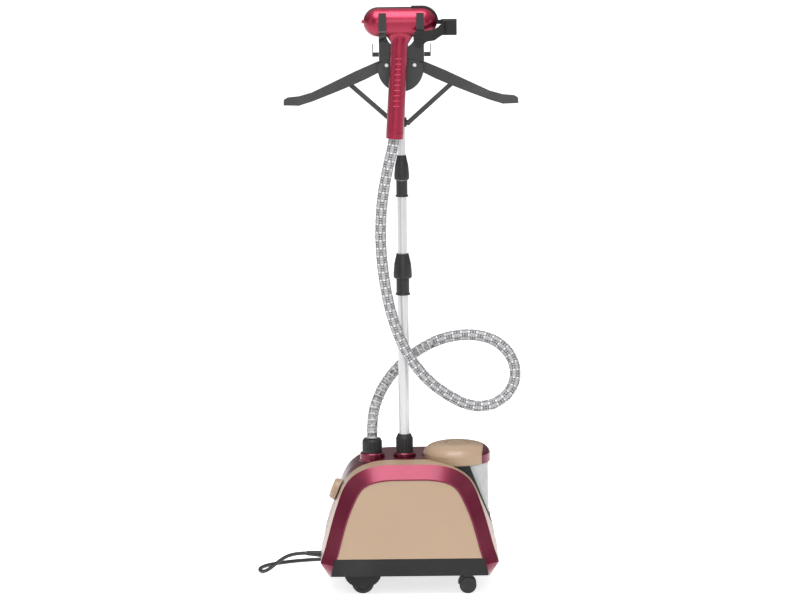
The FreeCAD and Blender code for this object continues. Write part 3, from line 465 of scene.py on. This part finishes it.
# Black fittings: nuts, pole clamps, side hooks, strut ring and caster hoods, with the valve, pump and
# switch inside. They are moulded in a darker, harder plastic than the tray.
black, shader, place = new_finish("black_plastic")
spark = noise(place, 1600, 3, 0.7)
feed(shader, Base_Color=spark.shade((0.008, 0.008, 0.009), (0.015, 0.015, 0.016)),
     Roughness=0.36 + 0.2 * spark, Normal=bump(spark, 0.00007, 0.5))
fittings = ["pole_nut", "hose_nut", "lower_sleeve", "lower_grip", "upper_sleeve", "upper_grip", "side_hooks",
            "strut_ring", "front_caster_hood", "rear_caster_hood", "dial_switch", "water_pump", "tank_valve"]
coat(fittings, black)
soften(fittings, 0.0007)

# The fork that carries the handset: glossy black plastic, polished where the handset slides in. Its plate
# sits in a slot at the front of the hub.
gloss_black, shader, place = new_finish("fork_gloss")
smears = noise(place, 40, 4)
feed(shader, Base_Color=smears.shade((0.006, 0.006, 0.007), (0.012, 0.012, 0.013)),
     Roughness=0.14 + 0.14 * smears, Coat_Weight=0.5, Normal=bump(smears, 0.00006, 0.3))
coat(["handset_fork"], gloss_black)
soften(["handset_fork"], 0.0009)

# The wheels: two fixed ones on steel axles at the left and two twin casters at the right. All have hard
# rubber treads, with dust in the texture.
tread, shader, place = new_finish("tread_rubber")
dust = noise(place, 120, 4)
feed(shader, Base_Color=dust.step(0.4, 0.8).shade((0.010, 0.010, 0.010), (0.026, 0.026, 0.025)),
     Roughness=0.5 + 0.25 * dust, Normal=bump(noise(place, 800), 0.0001, 0.5))
wheels = ["front_wheel", "rear_wheel", "front_caster_wheels", "rear_caster_wheels"]
coat(wheels, tread)
soften(wheels, 0.0008)

# The telescopic pole: three aluminium tubes that slide in each other, drawn and then anodised, with
# the drawing marks along them.
anodised, shader, place = new_finish("anodised_tube")
stretch = place.node("Mapping", None, {"Vector": place, "Scale": (900, 900, 6)})
marks = noise(stretch, 1.0, 4)
feed(shader, Base_Color=marks.shade((0.60, 0.60, 0.61), (0.70, 0.70, 0.71)), Metallic=0.85,
     Roughness=0.32 + 0.14 * marks, Normal=bump(marks, 0.00004, 0.4))
coat(["pole_lower", "pole_middle", "pole_upper"], anodised)
soften(["pole_lower", "pole_middle", "pole_upper"], 0.0003)

# The rivets of the hub, the wheel axles, the boiler's feet and the steam pipe: turned or bent steel,
# plated, with light scratches.
plated, shader, place = new_finish("plated_steel")
scratch = noise(place.node("Mapping", None, {"Vector": place, "Scale": (300, 40, 300)}), 2.0, 5)
feed(shader, Base_Color=scratch.shade((0.50, 0.50, 0.51), (0.64, 0.64, 0.65)), Metallic=1.0,
     Roughness=0.18 + 0.22 * scratch)
coat(["hub_rivets", "wheel_axles", "boiler_feet", "steam_pipe"], plated)
soften(["hub_rivets", "wheel_axles", "boiler_feet", "steam_pipe"], 0.0006)

# The boiler: a die-cast block with a rough skin. It stands on four feet in the tray and feeds the
# steam pipe.
cast, shader, place = new_finish("cast_boiler")
skin = noise(place, 420, 5)
feed(shader, Base_Color=skin.shade((0.26, 0.26, 0.27), (0.42, 0.42, 0.43)), Metallic=0.8,
     Roughness=0.45 + 0.2 * skin, Normal=bump(skin, 0.0003))
coat(["boiler"], cast)
soften(["boiler"], 0.0015)

# The control board: a thin laminate under green lacquer, with copper tracks below it. It stands inside
# the casing, out of sight.
board, shader, place = new_finish("circuit_lacquer")
tracks = place.node("TexBrick", None, {"Vector": place, "Scale": 260}, out=1)
feed(shader, Base_Color=tracks.step(0.4, 0.6).shade((0.01, 0.09, 0.04), (0.02, 0.17, 0.07)), Roughness=0.3)
coat(["control_board"], board)
soften(["control_board"], 0.0004)

# The water tank: clear moulded plastic, faintly milky, with flow marks from the mould. It stands in the
# cradle and lifts out of it.
clear, shader, place = new_finish("clear_tank")
flow = noise(place, 22, 3)
feed(shader, Base_Color=flow.shade((0.52, 0.53, 0.54), (0.62, 0.63, 0.64)), Roughness=0.12 + 0.1 * flow,
     Alpha=0.42 + 0.14 * flow, Normal=bump(flow, 0.0004, 0.3))
coat(["water_tank"], clear)
soften(["water_tank"], 0.0008)

# The handset: one lacquered moulding, a fat round-ended barrel that flows into its grip in a throat, and
# a dark back cover that meets it on a slanted seam. The cover carries the steam plate.
HEAD_Y = 0.5 * (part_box("hose_cuff")[0][1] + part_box("hose_cuff")[1][1])
HEAD = Vector((0, HEAD_Y, 1.143))
HEAD_RADIUS, HEAD_HALF = 0.0292, 0.0434
GRIP_TOP, GRIP_END = Vector((0, HEAD_Y, 1.131)), Vector((-0.0125, HEAD_Y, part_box("hose_cuff")[1][2] - 0.0008))
GRIP_RADIUS = 0.0172
SEAM_AT, SEAM_FACING = Vector((0, -0.069, 1.171)), Vector((0, -0.965, -0.263)).normalized()
SEAM_GAP = 0.0002
PLATE_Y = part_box("steam_plate")[0][1] - SEAM_GAP
THROAT_FOOT_RADIUS, THROAT_TOP_RADIUS, THROAT_DEPTH = 0.0174, 0.043, 0.042
THROAT_AT, THROAT_FLATTENING = Vector((-0.0008, HEAD_Y, 1.122)), 0.64
SKIN_CELL, SKIN_ROUNDS = 0.0013, 18


def tapered_rod(shape, start, end, radius, end_radius, sides=48):
    """Adds a round rod between two points, with a ball on each end, to a bmesh."""
    run = end - start
    turn = run.to_track_quat("Z", "Y").to_matrix().to_4x4()
    middle = Matrix.Translation((start + end) / 2) @ turn
    bmesh.ops.create_cone(shape, cap_ends=True, segments=sides, radius1=radius, radius2=end_radius,
                          depth=run.length, matrix=middle)
    for at, size in ((start, radius), (end, end_radius)):
        bmesh.ops.create_uvsphere(shape, u_segments=sides, v_segments=sides // 2, radius=size,
                                  matrix=Matrix.Translation(at))


def from_shape(name, shape, finish):
    """A new object from a bmesh."""
    mesh = bpy.data.meshes.new(name)
    shape.to_mesh(mesh)
    shape.free()
    mesh.materials.append(finish)
    mesh.polygons.foreach_set("use_smooth", [True] * len(mesh.polygons))
    piece = bpy.data.objects.new(name, mesh)
    bpy.context.collection.objects.link(piece)
    return piece


def settle(piece):
    """Makes a piece's modifiers part of its mesh."""
    bpy.context.view_layer.update()
    result = bpy.data.meshes.new_from_object(piece.evaluated_get(bpy.context.evaluated_depsgraph_get()))
    piece.modifiers.clear()
    piece.data = result


def melt(name, shape, voxel, rounds, finish):
    """Turns overlapping closed forms into one skin and smooths where they meet."""
    piece = from_shape(name, shape, finish)
    remesh = piece.modifiers.new("skin", "REMESH")
    remesh.mode, remesh.voxel_size = "VOXEL", voxel
    smooth = piece.modifiers.new("flow", "SMOOTH")
    smooth.factor, smooth.iterations = 0.5, rounds
    settle(piece)
    piece.data.polygons.foreach_set("use_smooth", [True] * len(piece.data.polygons))
    return piece


def slice_piece(piece, at, facing):
    """Cuts away what lies beyond a plane, and closes the cut."""
    shape = bmesh.new()
    shape.from_mesh(piece.data)
    cut = bmesh.ops.bisect_plane(shape, geom=shape.verts[:] + shape.edges[:] + shape.faces[:], plane_co=at,
                                 plane_no=facing, clear_outer=True)
    edges = [e for e in cut["geom_cut"] if isinstance(e, bmesh.types.BMEdge)]
    bmesh.ops.triangle_fill(shape, use_beauty=True, edges=edges)
    for face in shape.faces:
        face.smooth = abs(face.normal.dot(facing.normalized())) < 0.999
    shape.to_mesh(piece.data)
    shape.free()


body = bmesh.new()
reach = Vector((HEAD_HALF, 0, 0))
tapered_rod(body, HEAD - reach, HEAD + reach, HEAD_RADIUS, HEAD_RADIUS)
tapered_rod(body, GRIP_TOP, GRIP_END, GRIP_RADIUS, GRIP_RADIUS + 0.0003)
flatten = Matrix.Diagonal((1, THROAT_FLATTENING, 1, 1))
bmesh.ops.create_cone(body, cap_ends=True, segments=64, radius1=THROAT_FOOT_RADIUS, radius2=THROAT_TOP_RADIUS,
                      depth=THROAT_DEPTH, matrix=Matrix.Translation(THROAT_AT) @ flatten)
whole = melt("handset_moulding", body, SKIN_CELL, SKIN_ROUNDS, crimson)
cover = whole.copy()
cover.data = whole.data.copy()
cover.name = "handset_back_cover"
bpy.context.collection.objects.link(cover)
cover.data.materials.clear()
cover.data.materials.append(charcoal)
slice_piece(whole, SEAM_AT + SEAM_FACING * SEAM_GAP, -SEAM_FACING)
slice_piece(whole, GRIP_END, Vector((0, 0, -1)))
slice_piece(cover, SEAM_AT - SEAM_FACING * SEAM_GAP, SEAM_FACING)
slice_piece(cover, Vector((0, PLATE_Y, 0)), Vector((0, 1, 0)))
for part, node, slot in ((whole, "handset_front", "maroon_gloss"), (cover, "handset_rear", "dark_grey")):
    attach(part, "upper_stage")
    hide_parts(node)

coat(["grip_ribs", "hose_cuff", "end_button"], crimson)
soften(["hose_cuff", "end_button"], 0.0012)
soften(["grip_ribs"], 0.0004)

# The floor it stands on is wide, pale and matt, and it glows though it is no lamp: a painted glow, twice as
# strong behind the object as in front, lights the object from below and lightens the shadow under the base.
# Above it hangs a plain studio light: a large soft lamp overhead, a weaker one in front, faint ones at the
# sides, and a dome that is bright above and dark round the sides.
floor_paint, shader, place = new_finish("floor_paint")
towards_back = place.node("SeparateXYZ", None, {0: place}, out=1)
# Painted glow: the floor emits light of its own, twice as strong behind the object as in front, to light the
# object from below and lighten its shadow.
painted_floor_glow = towards_back.step(-1.6, -0.25).shade((0.36, 0.36, 0.36), (0.72, 0.72, 0.72))
feed(shader, Base_Color=noise(place, 3).shade((0.84, 0.84, 0.84), (0.87, 0.87, 0.87)), Roughness=0.7,
     Emission_Color=painted_floor_glow, Emission_Strength=1.0)
FLOOR_REACH = 30
floor_corners = [(x * FLOOR_REACH, y * FLOOR_REACH, 0) for x, y in ((-1, -1), (1, -1), (1, 1), (-1, 1))]
floor = mesh_piece("floor", floor_corners, [(0, 1, 2, 3)], floor_paint)

world = bpy.data.worlds.new("studio")
world.use_nodes = True
dome = Tap(world.node_tree, None).node("TexCoord", out=0)
dome_height = dome.node("SeparateXYZ", None, {0: dome}, out=2)
sky = dome_height.step(-0.1, 0.85).shade((0.03, 0.03, 0.032), (1.2, 1.2, 1.2))
world.node_tree.links.new(sky.socket, world.node_tree.nodes["Background"].inputs[0])
world.node_tree.nodes["Background"].inputs[1].default_value = 0.62
bpy.context.scene.world = world
bpy.context.scene.view_settings.view_transform = "Standard"


def softbox(name, at, size, power, look=(0, 0, 0.6)):
    """A square soft lamp that faces the object."""
    light = bpy.data.lights.new(name, "AREA")
    light.shape, light.size, light.energy = "SQUARE", size, power
    lamp = bpy.data.objects.new(name, light)
    bpy.context.collection.objects.link(lamp)
    lamp.location = at
    lamp.rotation_euler = (Vector(look) - Vector(at)).to_track_quat("-Z", "Y").to_euler()


softbox("overhead", (-0.2, -1.0, 3.2), 2.0, 78)
softbox("front", (0.15, -4.4, 2.0), 2.0, 40)
softbox("left", (-3.2, -1.6, 1.6), 1.6, 8)
softbox("right", (3.0, -1.2, 1.2), 0.8, 5)
